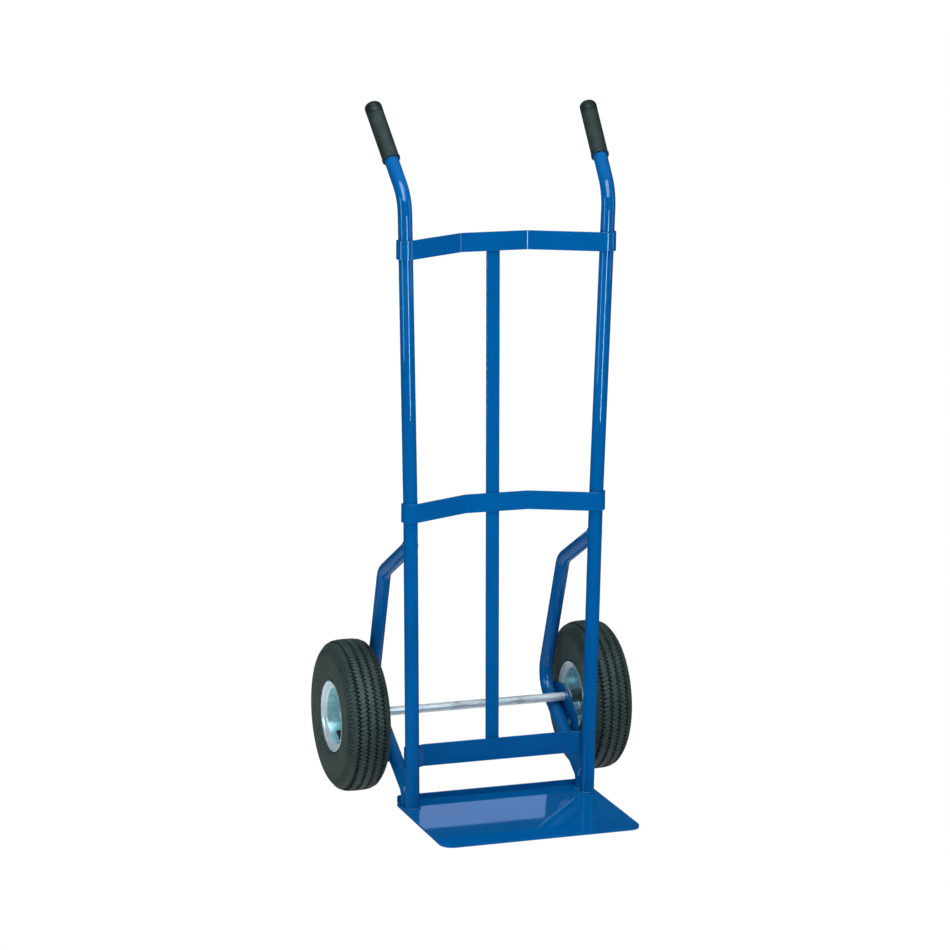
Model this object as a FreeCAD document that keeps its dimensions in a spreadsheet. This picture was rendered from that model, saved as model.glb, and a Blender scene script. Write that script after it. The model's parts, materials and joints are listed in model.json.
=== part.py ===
import FreeCAD, Part
import math
import os

import Sketcher

# Two-wheeled hand truck. Millimetres. +X right, +Y rear (wheel and handle side),
# -Y front (toe plate side), +Z up. Origin: centre of the overall box's underside,
# which is the surface that the tyres and the toe plate stand on.

V = FreeCAD.Vector
Placement = FreeCAD.Placement
Rotation = FreeCAD.Rotation

doc = FreeCAD.newDocument("HandTruck")

# ---------------------------------------------------------------- dimensions
CELLS = [
    # frame tube
    ("tube_radius", 12.0, "frame tube outer radius"),
    ("tube_wall", 1.5, "frame tube wall"),
    ("upright_y", -35.5, "uprights' axis, Y"),
    ("upright_foot_x", 157.2, "uprights' axis at Z 0, X"),
    ("upright_kink_z", 515.0, "height of the slight kink"),
    ("upright_kink_x", 164.4, "X there"),
    ("upright_kink_bend", 600.0, "kink bend radius"),
    ("handle_corner_x", 177.96, "corner of the handle bend, X"),
    ("handle_corner_z", 1039.8, "corner of the handle bend, Z"),
    ("handle_bend", 64.0, "handle bend radius"),
    ("handle_rake", 45.5, "handle, degrees back from vertical"),
    ("handle_splay", 0.059, "handle outward lean, per unit length"),
    ("right_handle_rake", 48.3, "right handle, degrees back from vertical"),
    ("right_handle_splay", 0.0785, "right handle outward lean, per unit length"),
    ("right_handle_drop", 2.7, "right handle's corner below the left one's"),
    ("handle_length", 190.0, "corner to the tube's end"),
    # grips
    ("grip_start", 78.5, "corner to the grip's open end"),
    ("grip_length", 116.7, "grip overall length"),
    ("grip_radius", 14.5, "grip outer radius"),
    ("grip_lip_radius", 15.2, "grip lip radius"),
    ("grip_bore", 12.05, "grip bore radius"),
    ("grip_end_wall", 4.8, "closed end thickness"),
    ("grip_nose", 7.0, "closed end edge radius"),
    # toe plate
    ("plate_thick", 4.0, "toe plate thickness"),
    ("plate_width", 350.0, "toe plate width"),
    ("plate_front", -250.0, "front edge, Y"),
    ("plate_flange_mid", 5.0, "mid-plane of the turned-up rear flange, Y"),
    ("plate_flange_top", 15.0, "flange height"),
    ("plate_bend", 4.0, "flange bend radius at mid-plane"),
    ("plate_corner", 22.0, "front corner radius"),
    ("plate_notch_x", 171.0, "half width of the flange"),
    ("plate_notch_y", -6.0, "front of the corner relief, Y"),
    # crossbars
    ("strap_thick", 3.0, "upper and middle crossbar thickness"),
    ("strap_height", 32.0, "upper and middle crossbar height"),
    ("strap_wrap", 14.0, "wrap radius round the upright at mid-plane"),
    ("strap_tail", 2.5, "tail past the upright's axis"),
    ("strap_elbow", 18.0, "bend beside the flat middle"),
    ("upper_z", 939.5, "upper crossbar, lower edge"),
    ("upper_upright_x", 175.75, "uprights' X at the upper crossbar"),
    ("upper_flat_left", 64.0, "left end of its flat middle, -X"),
    ("upper_flat_right", 53.0, "right end of its flat middle, +X"),
    ("upper_flat_y", 10.0, "its mid-plane, Y"),
    ("middle_z", 499.5, "middle crossbar, lower edge"),
    ("middle_upright_x", 164.45, "uprights' X at the middle crossbar"),
    ("middle_flat_left", 57.0, "left end of its flat middle, -X"),
    ("middle_flat_right", 55.0, "right end of its flat middle, +X"),
    ("middle_flat_y", -2.0, "its mid-plane, Y"),
    ("lower_z", 69.5, "lower crossbar, lower edge"),
    ("lower_thick", 4.0, "lower crossbar thickness"),
    ("lower_height", 38.0, "lower crossbar height"),
    ("lower_end_x", 168.0, "half length"),
    ("lower_step_out", 146.0, "outer end of the joggle, X"),
    ("lower_step_in", 132.0, "inner end of the joggle, X"),
    ("lower_end_y", -21.25, "end flats' mid-plane, Y"),
    ("lower_mid_y", -14.2, "middle mid-plane, Y"),
    ("lower_bend", 6.0, "joggle bend radius"),
    ("edge_round", 0.6, "rounding of the strips' long edges"),
    # centre bar
    ("bar_width", 23.0, "centre bar width"),
    ("bar_thick", 4.0, "centre bar thickness"),
    ("bar_x", -7.0, "its mid-line, X"),
    ("bar_length", 890.4, "centre bar length"),
    ("bar_foot_y", -11.95, "its front face at the foot, Y"),
    ("bar_foot_z", 75.0, "its foot, Z"),
    ("bar_tilt", -1.561, "lean about X, degrees"),
    # braces, measured from the uprights' axis
    ("side_lean", 0.80, "outward lean of each side frame, degrees"),
    ("brace_top_z", 458.9, "where the brace's axis meets the upright's"),
    ("brace_shoulder_y", 144.8, "first corner, behind the upright"),
    ("brace_shoulder_z", 381.1, "first corner, Z"),
    ("brace_shoulder_bend", 32.0, "first corner bend radius"),
    ("brace_heel_y", 224.2, "second corner"),
    ("brace_heel_z", 144.3, "second corner, Z"),
    ("brace_heel_bend", 50.0, "second corner bend radius"),
    ("brace_toe_y", 24.25, "third corner"),
    ("brace_toe_z", 27.3, "third corner, Z"),
    ("brace_toe_bend", 20.0, "third corner bend radius"),
    ("saddle_radius", 12.05, "saddle cut against the upright"),
    # axle brackets
    ("bracket_thick", 4.0, "bracket thickness"),
    ("bracket_hole", 7.65, "axle hole radius in the bracket"),
    ("slot_half_width", 5.0, "adjusting slot half width"),
    ("slot_half_run", 6.5, "adjusting slot, centre to end centre"),
    ("slot_y", 128.0, "slot centre, behind the upright"),
    ("slot_z", 92.0, "slot centre, Z"),
    # axle
    ("axle_radius", 7.5, "axle radius"),
    ("axle_half", 236.0, "half the axle's length"),
    ("axle_y", 120.0, "axle, Y"),
    ("axle_z", 130.0, "axle, Z, the tyre's radius"),
    ("axle_chamfer", 1.2, "axle end chamfer"),
    ("pin_x", 232.9, "split pin, X"),
    ("pin_hole", 1.4, "split pin hole radius"),
    ("pin_radius", 1.2, "split pin radius"),
    # washers, distances along the axle from the truck's mid-plane
    ("spacer_from", 175.3, "inner spacer washer, inboard face"),
    ("spacer_long", 4.4, "inner spacer washer thickness"),
    ("spacer_radius", 11.0, "inner spacer washer outer radius"),
    ("washer_from", 229.3, "outer washer, inboard face"),
    ("washer_long", 2.0, "outer washer thickness"),
    ("washer_radius", 13.0, "outer washer outer radius"),
    ("washer_bore", 7.6, "washer bore radius"),
    # wheels, distances along the axle from the wheel's centre, outboard positive
    ("wheel_x", 218.5, "wheel centre, X"),
    ("tyre_radius", 130.0, "tyre outer radius"),
    ("tyre_half", 39.0, "tyre half width"),
    ("tube_ring", 86.0, "inner tube ring radius"),
    ("tube_section", 30.5, "inner tube section radius"),
    ("tube_skin", 1.6, "inner tube wall"),
    ("rim_sheet", 2.0, "rim sheet thickness"),
    ("rim_seat", 45.5, "foot of the bead seat at mid-sheet, radius"),
    ("rim_flange", 60.3, "flange edge at mid-sheet, radius"),
    ("rim_edge", 34.0, "flange edge, from the wheel's centre"),
    ("rim_hole", 11.55, "hub hole in the rim disc, radius"),
    ("bolt_ring", 30.0, "rim bolts' ring radius"),
    ("bolt_hole", 3.3, "rim bolt hole radius"),
    ("bolt_radius", 3.0, "rim bolt shank radius"),
    ("bolt_head", 5.77, "rim bolt and nut, across corners, half"),
    ("bolt_head_tall", 4.0, "rim bolt head height"),
    ("nut_tall", 5.0, "rim nut height"),
    ("bolt_tail", 9.0, "bolt shank end, inboard of the wheel's centre"),
    ("nut_bore", 3.05, "rim nut bore radius"),
    ("hub_radius", 11.5, "hub tube outer radius"),
    ("hub_bore", 9.05, "hub tube bore radius"),
    ("hub_inner", -37.0, "hub tube, inboard end"),
    ("hub_long", 46.0, "hub tube length"),
    ("bush_radius", 9.0, "bush sleeve radius"),
    ("bush_bore", 7.55, "bush bore radius, running on the axle"),
    ("bush_sleeve", 15.0, "bush sleeve length"),
    ("bush_flange", 1.5, "bush flange thickness"),
    ("valve_hole", 5.4, "valve hole radius"),
    ("valve_hole_x", 13.8, "valve hole, from the wheel's centre"),
    ("valve_foot_x", 11.6, "valve foot, from the wheel's centre"),
    ("valve_foot_drop", 53.2, "valve foot, below the axle"),
    ("valve_tilt", 21.0, "valve lean outboard, degrees"),
]

sheet = doc.addObject("Spreadsheet::Sheet", "Sheet")
sheet.Label = "Dimensions"
for row, (alias, value, note) in enumerate(CELLS, start=1):
    sheet.set("A%d" % row, alias)
    sheet.set("B%d" % row, repr(value))
    sheet.set("C%d" % row, note)
    sheet.setAlias("B%d" % row, alias)
doc.recompute()


def cell(alias):
    return float(sheet.get(alias))


finished = {}


def finish(label, obj):
    obj.Label = label
    finished[label] = obj
    return obj


# ------------------------------------------------------------------- helpers
def bind(obj, pairs):
    for prop, expression in pairs:
        obj.setExpression(prop, expression)


def corners(points, closed):
    """Straight runs and tangent arcs through (u, v, bend radius) points."""
    count = len(points)
    starts, ends, arcs = {}, {}, {}
    for i, (u, v, r) in enumerate(points):
        here = V(u, v, 0)
        if r <= 0 or (not closed and i in (0, count - 1)):
            starts[i] = ends[i] = here
            continue
        a = V(points[i - 1][0], points[i - 1][1], 0)
        b = V(points[(i + 1) % count][0], points[(i + 1) % count][1], 0)
        d1 = (a - here).normalize()
        d2 = (b - here).normalize()
        half = d1.getAngle(d2) / 2.0
        reach = r / math.tan(half)
        starts[i] = here + d1 * reach
        ends[i] = here + d2 * reach
        centre = here + (d1 + d2).normalize() * (r / math.sin(half))
        middle = centre + (here - centre).normalize() * r
        arcs[i] = (starts[i], middle, ends[i])
    pieces = []
    for i in range(count):
        if i in arcs:
            pieces.append(("arc",) + arcs[i])
        j = (i + 1) % count
        if not closed and i == count - 1:
            break
        if (starts[j] - ends[i]).Length > 1e-6:
            pieces.append(("line", ends[i], starts[j]))
    return pieces


def strip(points, thick):
    """Closed outline of a bent strip round its mid-line."""
    count = len(points)
    left, right = [], []
    for i, (u, v, r) in enumerate(points):
        here = V(u, v, 0)
        before = V(*points[max(i - 1, 0)][:2], 0)
        after = V(*points[min(i + 1, count - 1)][:2], 0)
        d1 = (here - before) if i > 0 else (after - here)
        d2 = (after - here) if i < count - 1 else (here - before)
        d1.normalize()
        d2.normalize()
        n1 = V(-d1.y, d1.x, 0)
        n2 = V(-d2.y, d2.x, 0)
        m = (n1 + n2).normalize()
        k = (thick / 2.0) / m.dot(n1)
        turn = d1.x * d2.y - d1.y * d2.x
        if abs(turn) < 1e-6 or r <= 0:
            rl = rr = 0.0
        elif turn > 0:
            rl, rr = max(r - thick / 2.0, 0.0), r + thick / 2.0
        else:
            rl, rr = r + thick / 2.0, max(r - thick / 2.0, 0.0)
        p, q = here + m * k, here - m * k
        left.append((p.x, p.y, rl))
        right.append((q.x, q.y, rr))
    return left + right[::-1]


def origin_plane(body, role):
    for feature in body.Origin.OriginFeatures:
        if feature.Role == role:
            return feature
    raise RuntimeError("no origin feature " + role)


def new_sketch(body, role, name, offset=None):
    sketch = body.newObject("Sketcher::SketchObject", name)
    sketch.AttachmentSupport = [(origin_plane(body, role), "")]
    sketch.MapMode = "FlatFace"
    if offset is not None:
        sketch.setExpression("AttachmentOffset.Base.z", offset)
    return sketch


def draw(sketch, pieces, closed=True):
    """Put lines and arcs in a sketch, each end joined to the next."""
    first = sketch.GeometryCount
    ends = []
    for piece in pieces:
        index = sketch.GeometryCount
        if piece[0] == "line":
            sketch.addGeometry(Part.LineSegment(piece[1], piece[2]), False)
            ends.append((index, 1, 2))
        else:
            start, middle, end = piece[1:]
            circle = Part.Circle(start, middle, end)
            centre = circle.Center
            turning = (middle - start).cross(end - middle).z
            first_point, last_point = (start, end) if turning > 0 else (end, start)
            a1 = math.atan2(first_point.y - centre.y, first_point.x - centre.x)
            a2 = math.atan2(last_point.y - centre.y, last_point.x - centre.x)
            if a2 <= a1:
                a2 += 2.0 * math.pi
            sketch.addGeometry(Part.ArcOfCircle(Part.Circle(centre, V(0, 0, 1), circle.Radius), a1, a2), False)
            ends.append((index, 1, 2) if turning > 0 else (index, 2, 1))
    total = len(ends)
    for i in range(total if closed else total - 1):
        a, b = ends[i], ends[(i + 1) % total]
        sketch.addConstraint(Sketcher.Constraint("Coincident", a[0], a[2], b[0], b[1]))
    return first


def draw_circle(sketch, u, v, radius, radius_cell, u_expr=None, v_expr=None):
    """A circle whose radius and centre follow the sheet."""
    index = sketch.addGeometry(Part.Circle(V(u, v, 0), V(0, 0, 1), radius), False)
    k = sketch.addConstraint(Sketcher.Constraint("Radius", index, radius))
    sketch.setExpression("Constraints[%d]" % k, radius_cell)
    k = sketch.addConstraint(Sketcher.Constraint("DistanceX", -1, 1, index, 3, u))
    if u_expr:
        sketch.setExpression("Constraints[%d]" % k, u_expr)
    k = sketch.addConstraint(Sketcher.Constraint("DistanceY", -1, 1, index, 3, v))
    if v_expr:
        sketch.setExpression("Constraints[%d]" % k, v_expr)
    return index


def new_body(name):
    return doc.addObject("PartDesign::Body", name)


def pad(body, sketch, length, symmetric=False):
    feature = body.newObject("PartDesign::Pad", body.Name + "_Pad")
    feature.Profile = (sketch, [""])
    feature.SideType = "Symmetric" if symmetric else "One side"
    feature.setExpression("Length", length)
    doc.recompute()
    return feature


def pocket_through(body, sketch, reversed_side=False, symmetric=False):
    """Cut right through, and make sure that it did cut."""
    doc.recompute()
    before = body.Shape.Volume
    feature = body.newObject("PartDesign::Pocket", body.Name + "_Pocket")
    feature.Profile = (sketch, [""])
    feature.SideType = "Symmetric" if symmetric else "One side"
    feature.Type = "ThroughAll"
    feature.Reversed = reversed_side
    doc.recompute()
    if body.Shape.Volume > before - 1.0:
        raise RuntimeError(body.Name + ": the pocket cuts nothing")
    return feature


def revolve(body, sketch, axis="H_Axis"):
    feature = body.newObject("PartDesign::Revolution", body.Name + "_Revolution")
    feature.Profile = (sketch, [""])
    feature.ReferenceAxis = (sketch, [axis])
    feature.Angle = 360
    doc.recompute()
    return feature


def round_edges(body, radius, pick):
    """Round the edges of the tip that pick() accepts."""
    doc.recompute()
    base = body.Tip
    names = ["Edge%d" % (i + 1) for i, e in enumerate(base.Shape.Edges) if pick(e)]
    if not names:
        raise RuntimeError(body.Name + ": no edge to round")
    feature = body.newObject("PartDesign::Fillet", body.Name + "_Fillet")
    feature.Base = (base, names)
    feature.setExpression("Radius", radius)
    doc.recompute()
    return feature


def along(edge, direction):
    if edge.Curve.TypeId != "Part::GeomLine":
        return False
    d = (edge.Vertexes[-1].Point - edge.Vertexes[0].Point).normalize()
    return abs(abs(d.dot(direction)) - 1.0) < 1e-4


def at_height(edge, heights):
    box = edge.BoundBox
    return box.ZLength < 1e-4 and any(abs(box.ZMin - z) < 1e-4 for z in heights)


def cylinder(name, radius, height, start, rotation=None):
    """A bound cylinder; start is three expressions."""
    obj = doc.addObject("Part::Cylinder", name)
    if rotation is not None:
        obj.Placement = Placement(V(0, 0, 0), rotation)
    bind(obj, [("Radius", radius), ("Height", height)])
    for letter, expression in zip("xyz", start):
        if expression != "0":
            obj.setExpression("Placement.Base." + letter, expression)
    return obj


def ring(name, outer, inner, length, start_x):
    """A plain ring along +X: an outer cylinder less its bore."""
    turn = Rotation(V(0, 1, 0), 90)
    cut = doc.addObject("Part::Cut", name)
    cut.Base = cylinder(name + "_Outer", outer, length, (start_x, "0", "0"), turn)
    cut.Tool = cylinder(name + "_Bore", inner, length + " + 20", (start_x + " - 10", "0", "0"), turn)
    return cut


SIDES = (("left", -1.0), ("right", 1.0))


def side_rotation(sign):
    return Rotation(V(0, 1, 0), cell("side_lean") * sign)


def wheel_placement(sign):
    """Wheel parts are drawn with +X outboard; the left wheel is turned round."""
    turn = Rotation(V(0, 0, 1), 0 if sign > 0 else 180)
    return Placement(V(sign * cell("wheel_x"), cell("axle_y"), cell("axle_z")), turn)


def bind_wheel(obj, sign):
    obj.Placement = wheel_placement(sign)
    bind(obj, [("Placement.Base.x", ("" if sign > 0 else "-") + "Sheet.wheel_x"),
               ("Placement.Base.y", "Sheet.axle_y"),
               ("Placement.Base.z", "Sheet.axle_z")])


def bind_side(obj, sign):
    obj.Placement = Placement(V(sign * cell("upright_foot_x"), cell("upright_y"), 0), side_rotation(sign))
    bind(obj, [("Placement.Base.x", ("" if sign > 0 else "-") + "Sheet.upright_foot_x"),
               ("Placement.Base.y", "Sheet.upright_y")])


# ----------------------------------------------------------------- toe plate
# A pressed plate: flat bed, rounded front corners, low flange turned up at the rear.
body = new_body("ToePlate")
sketch = new_sketch(body, "YZ_Plane", "ToePlateSection")
half_thick = cell("plate_thick") / 2.0
section = strip([(cell("plate_front"), half_thick, 0),
                 (cell("plate_flange_mid"), half_thick, cell("plate_bend")),
                 (cell("plate_flange_mid"), cell("plate_flange_top"), 0)], cell("plate_thick"))
draw(sketch, corners(section, True))
pad(body, sketch, "Sheet.plate_width", symmetric=True)
relief = new_sketch(body, "XY_Plane", "ToePlateRelief")
for sign in (-1, 1):
    a, b = sign * cell("plate_notch_x"), sign * (cell("plate_width") / 2.0 + 5)
    y0, y1 = cell("plate_notch_y"), cell("plate_flange_mid") + 8
    loop = [(min(a, b), y0, 0), (max(a, b), y0, 0), (max(a, b), y1, 0), (min(a, b), y1, 0)]
    draw(relief, corners(loop, True))
pocket_through(body, relief, symmetric=True)
front = cell("plate_front")
round_edges(body, "Sheet.plate_corner",
            lambda e: along(e, V(0, 0, 1)) and abs(e.CenterOfMass.y - front) < 0.01)
top = cell("plate_flange_top")
round_edges(body, "Sheet.plate_bend",
            lambda e: along(e, V(0, 1, 0)) and abs(e.CenterOfMass.z - top) < 0.01)
finish("toe_plate", body)

# ------------------------------------------------------------------ uprights
# One tube each: a straight lower run, a slight outward kink, a long upper run and
# the raked handle. The path lies in no single plane, so it is built as a wire.


def bent_path(points):
    """Wire of straight runs and tangent arcs through (point, bend radius) pairs."""
    edges, start = [], points[0][0]
    for i in range(1, len(points) - 1):
        here, r = points[i]
        d1 = (points[i - 1][0] - here).normalize()
        d2 = (points[i + 1][0] - here).normalize()
        half = d1.getAngle(d2) / 2.0
        reach = r / math.tan(half)
        a, b = here + d1 * reach, here + d2 * reach
        centre = here + (d1 + d2).normalize() * (r / math.sin(half))
        middle = centre + (here - centre).normalize() * r
        edges.append(Part.LineSegment(start, a).toShape())
        edges.append(Part.Arc(a, middle, b).toShape())
        start = b
    edges.append(Part.LineSegment(start, points[-1][0]).toShape())
    return Part.Wire(edges)


def swept_rod(path, radius):
    first = path.Edges[0]
    start = first.valueAt(first.FirstParameter)
    heading = first.tangentAt(first.FirstParameter)
    circle = Part.Wire([Part.makeCircle(radius, start, heading)])
    return path.makePipeShell([circle], True, False)


def handle_direction(sign):
    rake = math.radians(cell("handle_rake" if sign < 0 else "right_handle_rake"))
    splay = cell("handle_splay" if sign < 0 else "right_handle_splay")
    return V(sign * splay, math.sin(rake), math.cos(rake)).normalize()


def handle_corner(sign):
    """Corner of the handle bend. The right one is a little lower on the same straight run."""
    drop = 0.0 if sign < 0 else cell("right_handle_drop")
    lean = (cell("handle_corner_x") - cell("upright_kink_x")) / (cell("handle_corner_z") - cell("upright_kink_z"))
    return V(sign * (cell("handle_corner_x") - lean * drop), cell("upright_y"), cell("handle_corner_z") - drop)


for side, sign in SIDES:
    slope = (cell("upright_kink_x") - cell("upright_foot_x")) / cell("upright_kink_z")
    y = cell("upright_y")
    below = -12.0
    foot = V(sign * (cell("upright_foot_x") + slope * below), y, below)
    kink = V(sign * cell("upright_kink_x"), y, cell("upright_kink_z"))
    corner = handle_corner(sign)
    tip = corner + handle_direction(sign) * cell("handle_length")
    path = bent_path([(foot, 0), (kink, cell("upright_kink_bend")), (corner, cell("handle_bend")), (tip, 0)])
    outer = swept_rod(path, cell("tube_radius"))
    inner = swept_rod(path, cell("tube_radius") - cell("tube_wall"))
    tube = outer.cut(inner)
    under = Part.makeBox(80, 80, 60, V(foot.x - 40, y - 40, cell("plate_thick") - 60))
    tube = tube.cut(under)
    upright = doc.addObject("Part::Feature", side.capitalize() + "Upright")
    upright.Shape = tube.Solids[0]
    upright.Placement = Placement()
    finish(side + "_upright", upright)

# --------------------------------------------------------------------- grips
# Moulded sleeve: open end with a lip, closed and rounded end, bored to the tube.
for side, sign in SIDES:
    body = new_body(side.capitalize() + "Grip")
    sketch = new_sketch(body, "XZ_Plane", body.Name + "Section")
    bore, length = cell("grip_bore"), cell("grip_length")
    outline = [(bore, 0, 0), (cell("grip_lip_radius"), 0, 1.2), (cell("grip_lip_radius"), 5.0, 1.0),
               (cell("grip_radius"), 7.0, 1.0), (cell("grip_radius"), length, cell("grip_nose")),
               (0, length, 0), (0, length - cell("grip_end_wall"), 0), (bore, length - cell("grip_end_wall"), 0)]
    draw(sketch, corners(outline, True))
    revolve(body, sketch, "V_Axis")
    heading = handle_direction(sign)
    body.Placement = Placement(handle_corner(sign) + heading * cell("grip_start"), Rotation(V(0, 0, 1), heading))
    finish(side + "_grip", body)

# ----------------------------------------------------------------- crossbars
# Flat strips set on edge. The upper and middle ones wrap round the front and outer
# side of each upright, leave it at a tangent back and inwards, and have a flat middle.


def wrapped_end(hx, flat_x, flat_y):
    """Mid-line corners from the tail to the flat middle, on the side of +X."""
    y, wrap = cell("upright_y"), cell("strap_wrap")
    reach = V(hx - flat_x, y - flat_y, 0)
    slope = math.atan2(reach.y, reach.x) - math.asin(wrap / reach.Length)
    corner_y = flat_y + (hx + wrap - flat_x) * math.tan(slope)
    return [(hx + wrap, y + cell("strap_tail"), 0), (hx + wrap, corner_y, wrap),
            (flat_x, flat_y, cell("strap_elbow"))]


def wrapped_bar(name, label, upright_x, flat_left, flat_right, flat_y, base_z):
    body = new_body(name)
    sketch = new_sketch(body, "XY_Plane", name + "Plan", base_z)
    right = wrapped_end(cell(upright_x), cell(flat_right), cell(flat_y))
    left = [(-u, v, r) for u, v, r in reversed(wrapped_end(cell(upright_x), cell(flat_left), cell(flat_y)))]
    draw(sketch, corners(strip(right + left, cell("strap_thick")), True))
    pad(body, sketch, "Sheet.strap_height")
    low = cell(base_z.replace("Sheet.", ""))
    levels = (low, low + cell("strap_height"))
    round_edges(body, "Sheet.edge_round", lambda e: at_height(e, levels) and e.Length > 4)
    return finish(label, body)


wrapped_bar("UpperCrossbar", "upper_crossbar", "upper_upright_x", "upper_flat_left", "upper_flat_right",
            "upper_flat_y", "Sheet.upper_z")
wrapped_bar("MiddleCrossbar", "middle_crossbar", "middle_upright_x", "middle_flat_left", "middle_flat_right",
            "middle_flat_y", "Sheet.middle_z")

body = new_body("LowerCrossbar")
sketch = new_sketch(body, "XY_Plane", "LowerCrossbarPlan", "Sheet.lower_z")
run = [(cell("lower_end_x"), cell("lower_end_y"), 0), (cell("lower_step_out"), cell("lower_end_y"), cell("lower_bend")),
       (cell("lower_step_in"), cell("lower_mid_y"), cell("lower_bend"))]
draw(sketch, corners(strip(run + [(-u, v, r) for u, v, r in reversed(run)], cell("lower_thick")), True))
pad(body, sketch, "Sheet.lower_height")
levels = (cell("lower_z"), cell("lower_z") + cell("lower_height"))
round_edges(body, "Sheet.edge_round", lambda e: at_height(e, levels) and e.Length > 5)
finish("lower_crossbar", body)

# ---------------------------------------------------------------- centre bar
# A flat bar behind the crossbars, leaning back a little so that it touches all three.
body = new_body("CentreBar")
sketch = new_sketch(body, "XY_Plane", "CentreBarSection")
wide, thick = cell("bar_width"), cell("bar_thick")
draw(sketch, corners([(-wide / 2, 0, 0), (wide / 2, 0, 0), (wide / 2, thick, 0), (-wide / 2, thick, 0)], True))
for k, (kind, geo, end, value, expression) in enumerate([
        ("DistanceX", 1, 1, wide / 2, "Sheet.bar_width / 2"),
        ("DistanceX", 3, 1, -wide / 2, "-Sheet.bar_width / 2"),
        ("DistanceY", 1, 2, thick, "Sheet.bar_thick"),
        ("DistanceY", 0, 1, 0.0, None)]):
    if expression is None:
        continue
    c = sketch.addConstraint(Sketcher.Constraint(kind, -1, 1, geo, end, value))
    sketch.setExpression("Constraints[%d]" % c, expression)
pad(body, sketch, "Sheet.bar_length")
round_edges(body, "Sheet.edge_round", lambda e: along(e, V(0, 0, 1)))
body.Placement = Placement(V(cell("bar_x"), cell("bar_foot_y"), cell("bar_foot_z")), Rotation(V(1, 0, 0), cell("bar_tilt")))
bind(body, [("Placement.Base.x", "Sheet.bar_x"), ("Placement.Base.y", "Sheet.bar_foot_y"),
            ("Placement.Base.z", "Sheet.bar_foot_z")])
finish("centre_bar", body)

# -------------------------------------------------------------------- braces
# A tube bent three times in the plane of its side frame. The upper end is saddle cut
# to the upright and the lower end stands square on the toe plate.
for side, sign in SIDES:
    name = side.capitalize() + "Brace"
    body = new_body(name + "Tube")
    spine = new_sketch(body, "YZ_Plane", name + "Path")
    run = [(cell("brace_toe_y"), -8.0, 0),
           (cell("brace_toe_y"), cell("brace_toe_z"), cell("brace_toe_bend")),
           (cell("brace_heel_y"), cell("brace_heel_z"), cell("brace_heel_bend")),
           (cell("brace_shoulder_y"), cell("brace_shoulder_z"), cell("brace_shoulder_bend")),
           (0.0, cell("brace_top_z"), 0)]
    draw(spine, corners(run, False), closed=False)
    section = new_sketch(body, "XY_Plane", name + "Section")
    section.AttachmentOffset = Placement(V(0, 0, -8.0), Rotation())
    draw_circle(section, 0, cell("brace_toe_y"), cell("tube_radius"), "Sheet.tube_radius", None, "Sheet.brace_toe_y")
    draw_circle(section, 0, cell("brace_toe_y"), cell("tube_radius") - cell("tube_wall"),
                "Sheet.tube_radius - Sheet.tube_wall", None, "Sheet.brace_toe_y")
    doc.recompute()
    pipe = body.newObject("PartDesign::AdditivePipe", name + "Pipe")
    pipe.Profile = (section, [""])
    pipe.Spine = (spine, ["Edge%d" % (i + 1) for i in range(spine.GeometryCount)])
    doc.recompute()
    saddle = doc.addObject("Part::Cut", name + "Saddle")
    saddle.Base = body
    saddle.Tool = cylinder(name + "SaddleTool", "Sheet.saddle_radius", "Sheet.brace_top_z * 2", ("0", "0", "0"))
    bind_side(saddle, sign)
    floor = doc.addObject("Part::Box", name + "FootTool")
    floor.Placement = Placement(V(sign * cell("upright_foot_x") - 40, cell("upright_y") - 40, -56.0), Rotation())
    bind(floor, [("Length", "80"), ("Width", "160"), ("Height", "56 + Sheet.plate_thick")])
    brace = doc.addObject("Part::Cut", name)
    brace.Base = saddle
    brace.Tool = floor
    finish(side + "_brace", brace)

# ------------------------------------------------------------- axle brackets
# A flat plate welded to the outer side of each brace, filling its lower bend.
BRACKET = [(80.0, 62.0, 2.0), (84.0, 90.0, 6.0), (98.0, 110.0, 8.0), (114.0, 126.0, 10.0), (139.0, 142.0, 12.0),
           (166.0, 151.5, 8.0), (214.0, 143.0, 8.0), (222.0, 132.0, 5.0), (150.0, 90.0, 0.0)]
for side, sign in SIDES:
    body = new_body(side.capitalize() + "Bracket")
    offset = "Sheet.tube_radius" if sign > 0 else "-Sheet.tube_radius - Sheet.bracket_thick"
    sketch = new_sketch(body, "YZ_Plane", body.Name + "Outline", offset)
    draw(sketch, corners(BRACKET, True))
    middle_of_plate = cell("tube_radius") + cell("bracket_thick") / 2.0
    rise = middle_of_plate * math.sin(math.radians(cell("side_lean")))
    draw_circle(sketch, cell("axle_y") - cell("upright_y"), cell("axle_z") + rise, cell("bracket_hole"),
                "Sheet.bracket_hole", "Sheet.axle_y - Sheet.upright_y",
                "Sheet.axle_z + (Sheet.tube_radius + Sheet.bracket_thick / 2) * sin(Sheet.side_lean * 1 deg)")
    angle = math.radians(30.0)
    along_slot = V(math.cos(angle), math.sin(angle), 0)
    across = V(-math.sin(angle), math.cos(angle), 0)
    middle = V(cell("slot_y"), cell("slot_z"), 0)
    reach, wide = cell("slot_half_run"), cell("slot_half_width")
    p1, p2 = middle + along_slot * reach - across * wide, middle + along_slot * reach + across * wide
    p3, p4 = middle - along_slot * reach + across * wide, middle - along_slot * reach - across * wide
    draw(sketch, [("line", p4, p1), ("arc", p1, middle + along_slot * (reach + wide), p2),
                  ("line", p2, p3), ("arc", p3, middle - along_slot * (reach + wide), p4)])
    pad(body, sketch, "Sheet.bracket_thick")
    bind_side(body, sign)
    finish(side + "_axle_bracket", body)

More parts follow.
